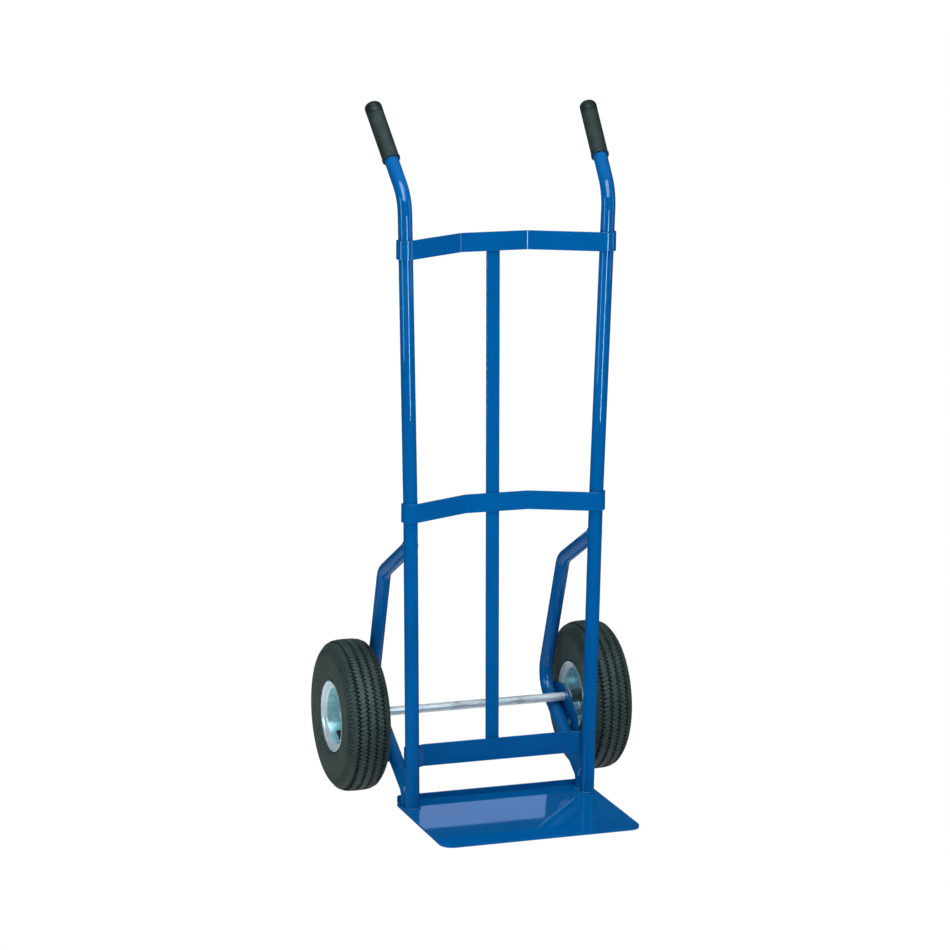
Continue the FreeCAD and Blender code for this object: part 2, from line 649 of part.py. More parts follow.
# ---------------------------------------------------------------------- axle
body = new_body("Axle")
sketch = new_sketch(body, "YZ_Plane", "AxleSection")
draw_circle(sketch, 0, 0, cell("axle_radius"), "Sheet.axle_radius")
pad(body, sketch, "Sheet.axle_half * 2", symmetric=True)
holes = new_sketch(body, "XY_Plane", "AxlePinHoles")
for sign in (-1, 1):
    draw_circle(holes, sign * cell("pin_x"), 0, cell("pin_hole"), "Sheet.pin_hole",
                ("" if sign > 0 else "-") + "Sheet.pin_x")
pocket_through(body, holes, symmetric=True)
base = body.Tip
ends = ["Edge%d" % (i + 1) for i, e in enumerate(base.Shape.Edges)
        if e.BoundBox.XLength < 1e-4 and abs(abs(e.CenterOfMass.x) - cell("axle_half")) < 1e-3]
bevel = body.newObject("PartDesign::Chamfer", "AxleChamfer")
bevel.Base = (base, ends)
bevel.setExpression("Size", "Sheet.axle_chamfer")
body.Placement = Placement(V(0, cell("axle_y"), cell("axle_z")), Rotation())
bind(body, [("Placement.Base.y", "Sheet.axle_y"), ("Placement.Base.z", "Sheet.axle_z")])
doc.recompute()
finish("axle", body)

# ------------------------------------------------------ washers, split pins
for side, sign in SIDES:
    name = side.capitalize()
    for label, title, outer, start, length in (
            ("inner_washer", "Spacer", "Sheet.spacer_radius", "Sheet.spacer_from", "Sheet.spacer_long"),
            ("outer_washer", "Washer", "Sheet.washer_radius", "Sheet.washer_from", "Sheet.washer_long")):
        washer = ring(name + title, outer, "Sheet.washer_bore", length, start)
        turn = Rotation(V(0, 0, 1), 0 if sign > 0 else 180)
        washer.Placement = Placement(V(0, cell("axle_y"), cell("axle_z")), turn)
        bind(washer, [("Placement.Base.y", "Sheet.axle_y"), ("Placement.Base.z", "Sheet.axle_z")])
        finish(side + "_" + label, washer)
    # eye above the axle, shank through it, two legs spread below it
    parts = []
    shank = cylinder(name + "PinShank", "Sheet.pin_radius", "20", ("0", "0", "-10"))
    eye = doc.addObject("Part::Torus", name + "PinEye")
    eye.Placement = Placement(V(0, 0, 12.2), Rotation(V(0, 1, 0), 90))
    bind(eye, [("Radius1", "Sheet.pin_radius + 1.6"), ("Radius2", "Sheet.pin_radius - 0.1")])
    parts = [shank, eye]
    for lean in (-38, 38):
        leg = cylinder(name + "PinLeg" + ("A" if lean < 0 else "B"), "Sheet.pin_radius - 0.25", "7.5",
                       ("0", "0", "0"), Rotation(V(1, 0, 0), 180 + lean))
        leg.Placement.Base = V(0, 0, -9.6)
        parts.append(leg)
    pin = doc.addObject("Part::MultiFuse", name + "SplitPin")
    pin.Shapes = parts
    pin.Placement = Placement(V(sign * cell("pin_x"), cell("axle_y"), cell("axle_z")), Rotation(V(0, 0, 1), 0))
    bind(pin, [("Placement.Base.x", ("" if sign > 0 else "-") + "Sheet.pin_x"),
               ("Placement.Base.y", "Sheet.axle_y"), ("Placement.Base.z", "Sheet.axle_z")])
    finish(side + "_split_pin", pin)

# -------------------------------------------------------------------- wheels
# Drawn about the X axis with the wheel's centre at 0 and +X outboard.


def arc(a, m, b):
    return ("arc", V(a[0], a[1], 0), V(m[0], m[1], 0), V(b[0], b[1], 0))


def line(a, b):
    return ("line", V(a[0], a[1], 0), V(b[0], b[1], 0))


R, W = cell("tyre_radius"), cell("tyre_half")
# tyre section, half, from the crown to the bead and back along the inside
HALF = [arc((26.0, R - 4.7), (W - 5.0, R - 12.6), (38.0, R - 23.5)),
        arc((38.0, R - 23.5), (W, 91.0), (38.0, 76.0)),
        arc((38.0, 76.0), (34.8, 66.2), (28.4, 57.9)),
        line((28.4, 57.9), (26.5, 51.35)),
        line((26.5, 51.35), (18.5, 49.95)),
        line((18.5, 49.95), (19.6, 55.0)),
        line((19.6, 55.0), (25.0, 62.0)),
        arc((25.0, 62.0), (30.2, 68.5), (32.6, 76.0)),
        arc((32.6, 76.0), (34.0, 88.0), (33.0, 98.0)),
        arc((33.0, 98.0), (31.2, 108.0), (27.0, 115.6))]


def mirrored(piece):
    pts = [V(-p.x, p.y, 0) for p in piece[1:]]
    return (piece[0],) + tuple(reversed(pts))


for side, sign in SIDES:
    name = side.capitalize()
    # tyre
    body = new_body(name + "Tyre")
    sketch = new_sketch(body, "XZ_Plane", body.Name + "Section")
    loop = [arc((-26.0, R - 4.7), (0, R), (26.0, R - 4.7))] + HALF
    loop += [arc((27.0, 115.6), (0, 120.6), (-27.0, 115.6))] + [mirrored(p) for p in reversed(HALF)]
    draw(sketch, loop)
    revolve(body, sketch)
    bind_wheel(body, sign)
    finish(side + "_tyre", body)

    # inner tube: a thin ring-shaped skin inside the tyre
    skin_out = doc.addObject("Part::Torus", name + "TubeOuter")
    bind(skin_out, [("Radius1", "Sheet.tube_ring"), ("Radius2", "Sheet.tube_section")])
    skin_in = doc.addObject("Part::Torus", name + "TubeInner")
    bind(skin_in, [("Radius1", "Sheet.tube_ring"), ("Radius2", "Sheet.tube_section - Sheet.tube_skin")])
    skin_out.Placement = Placement(V(0, 0, 0), Rotation(V(0, 1, 0), 90))
    skin_in.Placement = Placement(V(0, 0, 0), Rotation(V(0, 1, 0), 90))
    skin = doc.addObject("Part::Cut", name + "InnerTube")
    skin.Base, skin.Tool = skin_out, skin_in
    bind_wheel(skin, sign)
    finish(side + "_inner_tube", skin)

    # rim halves: pressed discs with a tapered bead seat and a curled flange
    for half, face in (("outer", 1.0), ("inner", -1.0)):
        body = new_body(name + "Rim" + half.capitalize())
        sketch = new_sketch(body, "XZ_Plane", body.Name + "Section")
        mid = face * cell("rim_sheet") / 2.0
        run = [(mid, cell("rim_hole"), 0), (mid, cell("rim_seat"), 5.0), (face * 27.5, 50.0, 3.2),
               (face * 29.5, 57.0, 3.0), (face * cell("rim_edge"), cell("rim_flange"), 0)]
        draw(sketch, corners(strip(run, cell("rim_sheet")), True))
        revolve(body, sketch)
        hole = new_sketch(body, "YZ_Plane", body.Name + "BoltHole")
        at = cell("bolt_ring") * math.sqrt(0.5)
        draw_circle(hole, at, at, cell("bolt_hole"), "Sheet.bolt_hole",
                    "Sheet.bolt_ring * sqrt(0.5)", "Sheet.bolt_ring * sqrt(0.5)")
        drill = pocket_through(body, hole, symmetric=True)
        before = body.Shape.Volume
        pattern = body.newObject("PartDesign::PolarPattern", body.Name + "BoltHoles")
        pattern.Originals = [drill]
        pattern.Axis = (origin_plane(body, "X_Axis"), [""])
        pattern.Angle = 360
        pattern.Occurrences = 4
        body.Tip = pattern
        doc.recompute()
        if body.Shape.Volume > before - 10:
            raise RuntimeError("the bolt holes were not repeated")
        if half == "outer":
            hole = new_sketch(body, "XY_Plane", body.Name + "ValveHole")
            draw_circle(hole, cell("valve_hole_x"), 0, cell("valve_hole"), "Sheet.valve_hole", "Sheet.valve_hole_x")
            pocket_through(body, hole)
        bind_wheel(body, sign)
        finish(side + "_rim_" + half, body)

    # rim bolts and nuts, one group of each
    along_x = Rotation(V(0, 1, 0), 90)
    bolts, nuts = [], []
    for k in range(4):
        angle = math.radians(45 + 90 * k)
        here = V(0, cell("bolt_ring") * math.cos(angle), cell("bolt_ring") * math.sin(angle))
        tag = "%s%d" % (name, k + 1)
        where = ("0", "Sheet.bolt_ring * cos(%d)" % (45 + 90 * k), "Sheet.bolt_ring * sin(%d)" % (45 + 90 * k))
        shank = cylinder("BoltShank" + tag, "Sheet.bolt_radius", "Sheet.bolt_tail + Sheet.rim_sheet + 1",
                         ("-Sheet.bolt_tail",) + where[1:], along_x)
        head = doc.addObject("Part::Prism", "BoltHead" + tag)
        head.Polygon = 6
        head.Placement = Placement(V(cell("rim_sheet"), here.y, here.z), along_x)
        bind(head, [("Circumradius", "Sheet.bolt_head"), ("Height", "Sheet.bolt_head_tall"),
                    ("Placement.Base.x", "Sheet.rim_sheet"),
                    ("Placement.Base.y", where[1]), ("Placement.Base.z", where[2])])
        one = doc.addObject("Part::Fuse", "Bolt" + tag)
        one.Base, one.Tool = head, shank
        bolts.append(one)
        block = doc.addObject("Part::Prism", "NutBlock" + tag)
        block.Polygon = 6
        block.Placement = Placement(V(0, here.y, here.z), along_x)
        bind(block, [("Circumradius", "Sheet.bolt_head"), ("Height", "Sheet.nut_tall"),
                     ("Placement.Base.x", "-Sheet.rim_sheet - Sheet.nut_tall"),
                     ("Placement.Base.y", where[1]), ("Placement.Base.z", where[2])])
        bore = cylinder("NutBore" + tag, "Sheet.nut_bore", "Sheet.nut_tall + 4",
                        ("-Sheet.rim_sheet - Sheet.nut_tall - 2",) + where[1:], along_x)
        one = doc.addObject("Part::Cut", "Nut" + tag)
        one.Base, one.Tool = block, bore
        nuts.append(one)
    for group, label in ((bolts, "_rim_bolts"), (nuts, "_rim_nuts")):
        bundle = doc.addObject("Part::Compound", name + label.title().replace("_", ""))
        bundle.Links = group
        bind_wheel(bundle, sign)
        finish(side + label, bundle)

    # hub tube and its two flanged bushes
    hub = ring(name + "Hub", "Sheet.hub_radius", "Sheet.hub_bore", "Sheet.hub_long", "Sheet.hub_inner")
    bind_wheel(hub, sign)
    finish(side + "_hub", hub)
    bushes = []
    for tag, sleeve_from, flange_from in (
            ("In", "Sheet.hub_inner", "Sheet.hub_inner - Sheet.bush_flange"),
            ("Out", "Sheet.hub_inner + Sheet.hub_long - Sheet.bush_sleeve", "Sheet.hub_inner + Sheet.hub_long")):
        sleeve = cylinder(name + "BushSleeve" + tag, "Sheet.bush_radius", "Sheet.bush_sleeve",
                          (sleeve_from, "0", "0"), along_x)
        flange = cylinder(name + "BushFlange" + tag, "Sheet.hub_radius", "Sheet.bush_flange",
                          (flange_from, "0", "0"), along_x)
        whole = doc.addObject("Part::Fuse", name + "BushBody" + tag)
        whole.Base, whole.Tool = sleeve, flange
        bore = cylinder(name + "BushBore" + tag, "Sheet.bush_bore", "Sheet.hub_long + 40",
                        ("Sheet.hub_inner - 20", "0", "0"), along_x)
        bush = doc.addObject("Part::Cut", name + "Bush" + tag)
        bush.Base, bush.Tool = whole, bore
        bushes.append(bush)
    pair = doc.addObject("Part::Compound", name + "HubBushes")
    pair.Links = bushes
    bind_wheel(pair, sign)
    finish(side + "_hub_bushes", pair)

    # valve: moulded stem with a threaded end, a clamping ring inside the dish, a cap
    lean = math.radians(cell("valve_tilt"))
    axis = V(math.sin(lean), 0, math.cos(lean))
    seat = Placement(V(cell("valve_foot_x"), 0, -cell("valve_foot_drop")), Rotation(V(0, 0, 1), axis))
    shapes = (("valve_stem", "ValveStem",
               [(0, 0, 0), (6.0, 0, 0.6), (6.0, 1.6, 0.6), (4.2, 2.4, 0.5), (4.2, 14.0, 2.0), (3.3, 19.6, 0),
                (2.55, 19.6, 0), (2.55, 24.0, 0.4), (0, 24.0, 0)]),
              ("valve_nut", "ValveNut",
               [(4.25, 8.6, 0), (6.6, 8.6, 0.5), (6.6, 10.8, 0.5), (5.4, 11.8, 0.5), (4.25, 11.8, 0)]),
              ("valve_cap", "ValveCap",
               [(2.6, 19.8, 0), (4.3, 19.8, 0.5), (4.3, 28.0, 2.0), (0, 29.4, 0), (0, 24.4, 0), (2.6, 24.4, 0)]))
    for label, title, outline in shapes:
        body = new_body(name + title)
        sketch = new_sketch(body, "XZ_Plane", body.Name + "Section")
        draw(sketch, corners(outline, True))
        revolve(body, sketch, "V_Axis")
        body.Placement = wheel_placement(sign).multiply(seat)
        finish(side + "_" + label, body)

# -------------------------------------------------------------------- output
doc.recompute()
problems = []
for obj in doc.Objects:
    if "Invalid" in obj.State or "Error" in obj.State:
        problems.append("%s: %s" % (obj.Label, obj.State))
for label, obj in finished.items():
    shape = obj.Shape
    if shape.isNull() or not shape.isValid() or shape.Volume <= 0:
        problems.append(label + ": shape is null, invalid or empty")
if problems:
    raise RuntimeError("; ".join(problems))

os.makedirs("parts", exist_ok=True)
for label, obj in finished.items():
    obj.Shape.exportStep(os.path.join("parts", label + ".step"))
    box = obj.Shape.BoundBox
    print("%-22s solids %d  volume %10.1f  X %8.2f %8.2f  Y %8.2f %8.2f  Z %8.2f %8.2f" % (
        label, len(obj.Shape.Solids), obj.Shape.Volume, box.XMin, box.XMax, box.YMin, box.YMax, box.ZMin, box.ZMax))
print(len(finished), "nodes")
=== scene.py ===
import json
import math
import random

import bmesh
import bpy
import numpy as np
from mathutils import Matrix, Vector


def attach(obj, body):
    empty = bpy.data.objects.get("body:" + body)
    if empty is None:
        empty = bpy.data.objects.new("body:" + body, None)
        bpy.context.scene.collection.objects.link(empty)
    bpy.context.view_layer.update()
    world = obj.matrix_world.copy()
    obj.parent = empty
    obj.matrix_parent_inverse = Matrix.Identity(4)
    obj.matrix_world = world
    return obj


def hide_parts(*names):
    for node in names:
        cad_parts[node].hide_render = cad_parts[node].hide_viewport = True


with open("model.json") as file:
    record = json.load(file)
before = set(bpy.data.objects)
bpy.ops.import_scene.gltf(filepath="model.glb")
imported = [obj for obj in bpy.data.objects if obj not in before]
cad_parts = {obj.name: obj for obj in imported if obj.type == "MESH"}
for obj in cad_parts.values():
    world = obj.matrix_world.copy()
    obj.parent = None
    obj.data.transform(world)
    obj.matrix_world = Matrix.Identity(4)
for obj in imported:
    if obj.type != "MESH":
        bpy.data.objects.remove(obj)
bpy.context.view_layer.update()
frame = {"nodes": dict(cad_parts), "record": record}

NODES = frame["nodes"]
MM = 0.001
scene = bpy.context.scene

# ------------------------------------------------------------------ geometry taken from the CAD frame
UPRIGHT_Y = -35.5
AXLE_Y, AXLE_Z = 120.0, 130.0
WHEEL_X = 218.5
BAR_X = -7.0
SIDES = (("left", -1.0), ("right", 1.0))


def upright_x(z):
    """Distance of an upright's axis from the mid-plane, in mm, below the handle bend."""
    return 157.2 + (164.4 - 157.2) / 515.0 * z if z < 515.0 else 164.4 + (177.96 - 164.4) / (1039.8 - 515.0) * (z - 515.0)


LEAN = math.radians(0.80)


def side_point(sign, x, y, z):
    """A point of a side frame, drawn upright and centred on its upright, in the row frame in mm."""
    x *= sign
    cx, sx = math.cos(LEAN * sign), math.sin(LEAN * sign)
    return Vector((sign * 157.2 + x * cx + z * sx, UPRIGHT_Y + y, -x * sx + z * cx))


# ------------------------------------------------------------------ materials
class Shader:
    """A small builder for node materials."""

    def __init__(self, name):
        self.mat = bpy.data.materials.new(name)
        self.mat.use_nodes = True
        self.tree = self.mat.node_tree
        self.tree.nodes.clear()
        self.out = self.add("ShaderNodeOutputMaterial")
        self.bsdf = self.add("ShaderNodeBsdfPrincipled")
        self.tree.links.new(self.bsdf.outputs[0], self.out.inputs[0])
        self.coords = self.add("ShaderNodeTexCoord").outputs["Object"]

    def add(self, kind, **props):
        node = self.tree.nodes.new(kind)
        for key, value in props.items():
            setattr(node, key, value)
        return node

    def link(self, a, b):
        self.tree.links.new(a, b)

    def stretched(self, scale):
        mapping = self.add("ShaderNodeMapping")
        mapping.inputs["Scale"].default_value = scale
        self.link(self.coords, mapping.inputs["Vector"])
        return mapping.outputs[0]

    def noise(self, scale, detail=3.0, rough=0.55, vector=None, distortion=0.0):
        node = self.add("ShaderNodeTexNoise")
        node.inputs["Scale"].default_value = scale
        node.inputs["Detail"].default_value = detail
        node.inputs["Roughness"].default_value = rough
        node.inputs["Distortion"].default_value = distortion
        self.link(vector or self.coords, node.inputs["Vector"])
        return node.outputs["Fac"]

    def voronoi(self, scale, vector=None, output="Color", feature="F1"):
        node = self.add("ShaderNodeTexVoronoi", feature=feature)
        node.inputs["Scale"].default_value = scale
        self.link(vector or self.coords, node.inputs["Vector"])
        return node.outputs[output]

    def ramp(self, fac, low, high, at=(0.3, 0.7)):
        node = self.add("ShaderNodeMapRange")
        node.inputs["From Min"].default_value = at[0]
        node.inputs["From Max"].default_value = at[1]
        node.inputs["To Min"].default_value = low
        node.inputs["To Max"].default_value = high
        self.link(fac, node.inputs["Value"])
        return node.outputs[0]

    def mix(self, fac, a, b, blend="MIX"):
        node = self.add("ShaderNodeMix", data_type="RGBA", blend_type=blend)
        for socket, value in ((0, fac), (6, a), (7, b)):
            if isinstance(value, (int, float)):
                node.inputs[socket].default_value = value
            elif isinstance(value, tuple):
                node.inputs[socket].default_value = (*value, 1.0) if len(value) == 3 else value
            else:
                self.link(value, node.inputs[socket])
        return node.outputs[2]

    def math(self, op, a, b):
        node = self.add("ShaderNodeMath", operation=op)
        for socket, value in ((0, a), (1, b)):
            if isinstance(value, (int, float)):
                node.inputs[socket].default_value = value
            else:
                self.link(value, node.inputs[socket])
        return node.outputs[0]

    def bump(self, height, strength, distance, below=None):
        node = self.add("ShaderNodeBump")
        node.inputs["Strength"].default_value = strength
        node.inputs["Distance"].default_value = distance
        self.link(height, node.inputs["Height"])
        if below is not None:
            self.link(below, node.inputs["Normal"])
        return node.outputs[0]

    def set(self, **values):
        for key, value in values.items():
            socket = self.bsdf.inputs[key.replace("_", " ")]
            if hasattr(value, "is_linked") or isinstance(value, bpy.types.NodeSocket):
                self.link(value, socket)
            elif isinstance(value, tuple):
                socket.default_value = (*value, 1.0)
            else:
                socket.default_value = value


def blue_paint():
    """Gloss powder coat: a deep blue, faint orange peel, slight variation from coat thickness."""
    s = Shader("blue_powder_coat")
    broad = s.noise(7.0, 2.0)
    fine = s.noise(60.0, 3.0)
    colour = s.mix(s.ramp(broad, 0.0, 1.0), (0.0, 0.073, 0.239), (0.0, 0.087, 0.280))
    colour = s.mix(s.ramp(fine, 0.0, 0.25, (0.45, 0.75)), colour, (0.0, 0.068, 0.223))
    s.set(Base_Color=colour, Roughness=s.ramp(s.noise(45.0, 3.0), 0.30, 0.44), Specular_IOR_Level=0.0,
          Coat_Weight=1.0, Coat_Roughness=0.016, Coat_IOR=1.5)
    peel = s.noise(330.0, 1.5, 0.4)
    s.set(Normal=s.bump(peel, 0.10, 0.00010), Coat_Normal=s.bump(s.noise(140.0, 1.0, 0.4), 0.025, 0.00020))
    return s.mat


def plated_rim(name, low, high, rough, metal):
    """Bright zinc on a pressing: faint spangle, drawing marks round the axle, small stains. The low and high tones of
    each copy carry painted light: lighter on the flange as painted highlight, darker on the dish and the hub as
    painted shade.
    """
    s = Shader(name)
    spangle = s.voronoi(170.0)
    sep = s.add("ShaderNodeSeparateColor")
    s.link(spangle, sep.inputs[0])
    cloud = s.noise(24.0, 4.0)
    colour = s.mix(s.ramp(cloud, 0.0, 1.0, (0.35, 0.7)), low, high)
    colour = s.mix(s.math("MULTIPLY", sep.outputs[0], 0.09), colour, (0.86, 0.89, 0.90))
    marks = s.noise(30.0, 3.0, 0.6, s.stretched((24.0, 1.0, 1.0)))
    s.set(Base_Color=colour, Metallic=metal, Roughness=s.ramp(s.math("ADD", s.math("MULTIPLY", sep.outputs[1], 0.3), cloud), rough[0], rough[1], (0.4, 0.95)),
          Normal=s.bump(marks, 0.05, 0.00004, s.bump(s.noise(900.0, 2.0), 0.03, 0.00003)))
    return s.mat


def plated_bar():
    """Zinc-plated bar and fasteners: fine lengthwise drawing lines, dull patches."""
    s = Shader("plated_bar")
    lines = s.noise(900.0, 2.0, 0.6, s.stretched((0.035, 1.0, 1.0)))
    cloud = s.noise(38.0, 4.0)
    colour = s.mix(s.ramp(cloud, 0.0, 1.0, (0.3, 0.75)), (0.62, 0.70, 0.74), (0.80, 0.87, 0.90))
    s.set(Base_Color=colour, Metallic=0.55, Roughness=s.ramp(s.math("ADD", s.math("MULTIPLY", lines, 0.4), s.math("MULTIPLY", cloud, 0.6)), 0.20, 0.40, (0.3, 0.7)),
          Normal=s.bump(lines, 0.15, 0.00006))
    return s.mat


def tyre_rubber(name, low, high, rough=(0.62, 0.84), worn=1.35, pebble=0.22, fleck=(0.52, 0.75, 0.5)):
    """Moulded tyre rubber: dull dark green-grey, mould texture, a little dust bloom."""
    s = Shader(name)
    bloom = s.noise(16.0, 5.0, 0.62)
    grain = s.noise(1500.0, 3.0, 0.6)
    spots = s.noise(190.0, 4.0, 0.65)
    colour = s.mix(s.ramp(bloom, 0.0, 1.0, (0.32, 0.72)), low, high)
    scuffs = s.noise(280.0, 4.0, 0.65)
    colour = s.mix(s.ramp(scuffs, 0.0, fleck[2], fleck[:2]), colour, tuple(worn * c for c in high))
    s.set(Base_Color=colour, Roughness=s.ramp(spots, rough[0], rough[1]), Specular_IOR_Level=0.42,
          Sheen_Weight=0.03, Sheen_Roughness=0.6, Sheen_Tint=(0.7, 0.78, 0.74),
          Normal=s.bump(grain, 0.35, 0.00015, s.bump(spots, pebble, 0.0018)))
    return s.mat


def grip_vinyl(name, low, high, rough):
    """Moulded grip: dark green-grey plastic with a fine leathered grain."""
    s = Shader(name)
    bloom = s.noise(55.0, 4.0, 0.6)
    cells = s.voronoi(950.0, output="Distance")
    colour = s.mix(s.ramp(bloom, 0.0, 1.0, (0.3, 0.72)), low, high)
    s.set(Base_Color=colour, Roughness=s.ramp(bloom, rough[0], rough[1]), Specular_IOR_Level=0.5,
          Normal=s.bump(cells, 0.25, 0.00012, s.bump(s.noise(2400.0, 2.0), 0.15, 0.00005)))
    return s.mat


def plain_plastic(name, low, high, rough):
    """Small moulded parts: even colour with a faint mould grain."""
    s = Shader(name)
    bloom = s.noise(120.0, 3.0)
    s.set(Base_Color=s.mix(s.ramp(bloom, 0.0, 1.0), low, high), Roughness=s.ramp(bloom, rough[0], rough[1]),
          Normal=s.bump(s.noise(1800.0, 2.0), 0.12, 0.00005))
    return s.mat


BLUE = blue_paint()
BAR = plated_bar()
# flange and dish are copies of one zinc that differ as painted light: a lighter flange as painted highlight, a darker
# dish as painted shade
FLANGE_PAINTED_HIGHLIGHT = plated_rim("plated_flange_painted_highlight", (0.60, 0.80, 0.88), (0.80, 0.94, 0.99), (0.10, 0.20), 0.42)
DISH_PAINTED_SHADE = plated_rim("plated_dish_painted_shade", (0.27, 0.56, 0.64), (0.40, 0.70, 0.77), (0.20, 0.38), 0.5)
# a dark olive copy of the rim zinc for the hubs: painted shade for the hub set back between bracket and dish
HUB_PAINTED_SHADE = plated_rim("plated_hub_painted_shade", (0.15, 0.20, 0.18), (0.28, 0.34, 0.31), (0.10, 0.22), 0.85)
TYRE = tyre_rubber("tyre_tread", (0.009, 0.020, 0.0185), (0.021, 0.040, 0.036), (0.42, 0.62), 1.8, 0.6)
TYRE_WALL = tyre_rubber("tyre_wall", (0.011, 0.023, 0.021), (0.030, 0.048, 0.044), (0.44, 0.64), 2.0, 0.9, (0.42, 0.70, 0.9))
# nearly black copy of the tread rubber for groove floors and sipe cuts: painted shade in the tread's recesses
GROOVE_PAINTED_SHADE = tyre_rubber("tyre_groove_painted_shade", (0.003, 0.007, 0.0065), (0.008, 0.014, 0.013), (0.75, 0.9))
TUBE = tyre_rubber("inner_tube_rubber", (0.012, 0.013, 0.013), (0.020, 0.021, 0.021))
GRIP = grip_vinyl("grip_vinyl", (0.003, 0.0095, 0.0088), (0.009, 0.020, 0.0185), (0.50, 0.66))
GRIP_END = grip_vinyl("grip_end_vinyl", (0.002, 0.006, 0.0056), (0.005, 0.012, 0.0112), (0.40, 0.52))
CAP = plain_plastic("valve_cap_plastic", (0.010, 0.010, 0.011), (0.018, 0.018, 0.019), (0.38, 0.55))
BUSH = plain_plastic("bush_nylon", (0.50, 0.49, 0.45), (0.60, 0.59, 0.55), (0.4, 0.55))

BY_SLOT = {"blue_paint": BLUE, "plated_steel": BAR, "plated_rim": DISH_PAINTED_SHADE, "tyre_rubber": TYRE, "tube_rubber": TUBE,
           "grip_vinyl": GRIP, "cap_plastic": CAP, "bush_plastic": BUSH}
for part in frame["record"]["subparts"]:
    obj = NODES[part["node"]]
    for slot in obj.material_slots:
        # hubs take the dark zinc copy, painted shade
        slot.material = HUB_PAINTED_SHADE if part["node"].endswith("_hub") else BY_SLOT[part["material_slot"]]


# ------------------------------------------------------------------ mesh helpers
def new_piece(name, verts, faces, materials, face_materials=None, sharp=None, body="frame", replaces=()):
    """A mesh piece in the row frame: verts in mm, smooth shaded, edges above the sharp angle kept crisp."""
    mesh = bpy.data.meshes.new(name)
    mesh.from_pydata([tuple(c * MM for c in v) for v in verts], [], faces)
    for m in materials:
        mesh.materials.append(m)
    if face_materials is not None:
        mesh.polygons.foreach_set("material_index", face_materials)
    work = bmesh.new()
    work.from_mesh(mesh)
    bmesh.ops.recalc_face_normals(work, faces=work.faces)
    work.to_mesh(mesh)
    work.free()
    mesh.polygons.foreach_set("use_smooth", [True] * len(mesh.polygons))
    if sharp is not None:
        mesh.set_sharp_from_angle(angle=math.radians(sharp))
    mesh.update()
    obj = bpy.data.objects.new(name, mesh)
    scene.collection.objects.link(obj)
    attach(obj, body)
    if replaces:
        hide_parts(*replaces)
    return obj


def grid_faces(rows, cols, close_rows, close_cols):
    """Quads of a rows x cols vertex grid, wrapped as asked."""
    faces = []
    for i in range(rows if close_rows else rows - 1):
        a, b = i * cols, ((i + 1) % rows) * cols
        for j in range(cols if close_cols else cols - 1):
            k = (j + 1) % cols
            faces.append((a + j, a + k, b + k, b + j))
    return faces


# ------------------------------------------------------------------ tyres
TREAD_PITCHES = 110
# within one tread pitch: the zigzag's two corners and the sipe's four edges
STEPS = (0.0, 0.25, 0.5, 0.62, 0.645, 0.80, 0.825)
ZIGZAG = 2.3
GROOVES = (7.4, 22.2)
SIPE_DEEP = 1.5


def crown(x):
    """Outer radius of the bare tyre section at a distance x from its centre plane."""
    k = min(abs(x) / 39.0, 1.0)
    return 90.5 + 39.5 * (1.0 - k ** 2.9) ** (1.0 / 2.9)


def wall(r):
    """Half width of the bare tyre section at radius r."""
    k = min(abs(r - 90.5) / 39.5, 1.0)
    return 39.0 * (1.0 - k ** 2.9) ** (1.0 / 2.9)


def tyre_half():
    """(x, r, zigzag share, sipe share, material) from the centre plane out to the bead, x >= 0."""
    pts = []

    def tread(x, drop=0.0, zig=1.0, sipe=0.0, mat=0):
        pts.append((x, crown(x) - drop, zig, sipe, mat))

    tread(0.0)
    tread(3.0)
    for centre in GROOVES:
        for dx, drop, mat in ((-2.6, 0.0, 0), (-2.25, 0.35, 1), (-1.45, 3.6, 1), (0.0, 3.8, 1), (1.45, 3.6, 1), (2.25, 0.35, 0), (2.6, 0.0, 0)):
            tread(centre + dx, drop, 1.0, 0.4 if drop < 1.0 else 0.0, mat)
        if centre == GROOVES[0]:
            tread(12.3)
            tread(15.0)
            tread(17.6)
    tread(25.4, 0.0, 0.8)
    tread(27.4, 0.0, 0.35)
    tread(29.4, 0.0, 0.0)
    tread(30.8, 0.0, 0.0, 0.0)
    tread(31.5, 0.0, 0.0, 0.75)
    tread(33.6, 0.0, 0.0, 1.0)
    tread(35.4, 0.0, 0.0, 1.0)
    for r, sipe in ((113.5, 1.0), (111.0, 0.9), (109.2, 0.0), (107.5, 0.0)):
        pts.append((wall(r), r, 0.0, sipe, 0))
    # sidewall: raised rings and a stepped rim guard
    rings = ((104.6, 0.45, 0.55), (101.8, 0.35, 0.45), (84.0, 0.40, 0.5), (80.6, 0.30, 0.4), (71.2, 0.45, 0.6), (68.4, 0.35, 0.5))
    stops = []
    for centre, tall, half in rings:
        stops += [(centre + half + 0.35, 0.0), (centre + half, tall), (centre - half, tall), (centre - half - 0.35, 0.0)]
    for r in (99.0, 96.0, 93.0, 90.0, 87.0, 77.8, 75.2, 73.4, 66.4):
        stops.append((r, 0.0))
    for r, tall in sorted(stops, reverse=True):
        pts.append((wall(r) + tall, r - (0.25 * tall if r < 75 else 0.0), 0.0, 0.0, 2))
    for x, r in ((33.1, 64.4), (32.6, 63.2), (31.2, 61.5), (29.6, 59.3), (28.5, 57.9), (27.6, 55.0), (26.6, 51.6), (26.0, 51.0), (19.0, 50.0), (18.6, 50.4),
                 (19.6, 55.0), (25.0, 62.0), (30.2, 68.5), (32.6, 76.0), (33.8, 88.0), (33.0, 98.0), (31.2, 108.0), (27.0, 115.6), (14.0, 119.3)):
        pts.append((x, r, 0.0, 0.0, 2))
    return pts


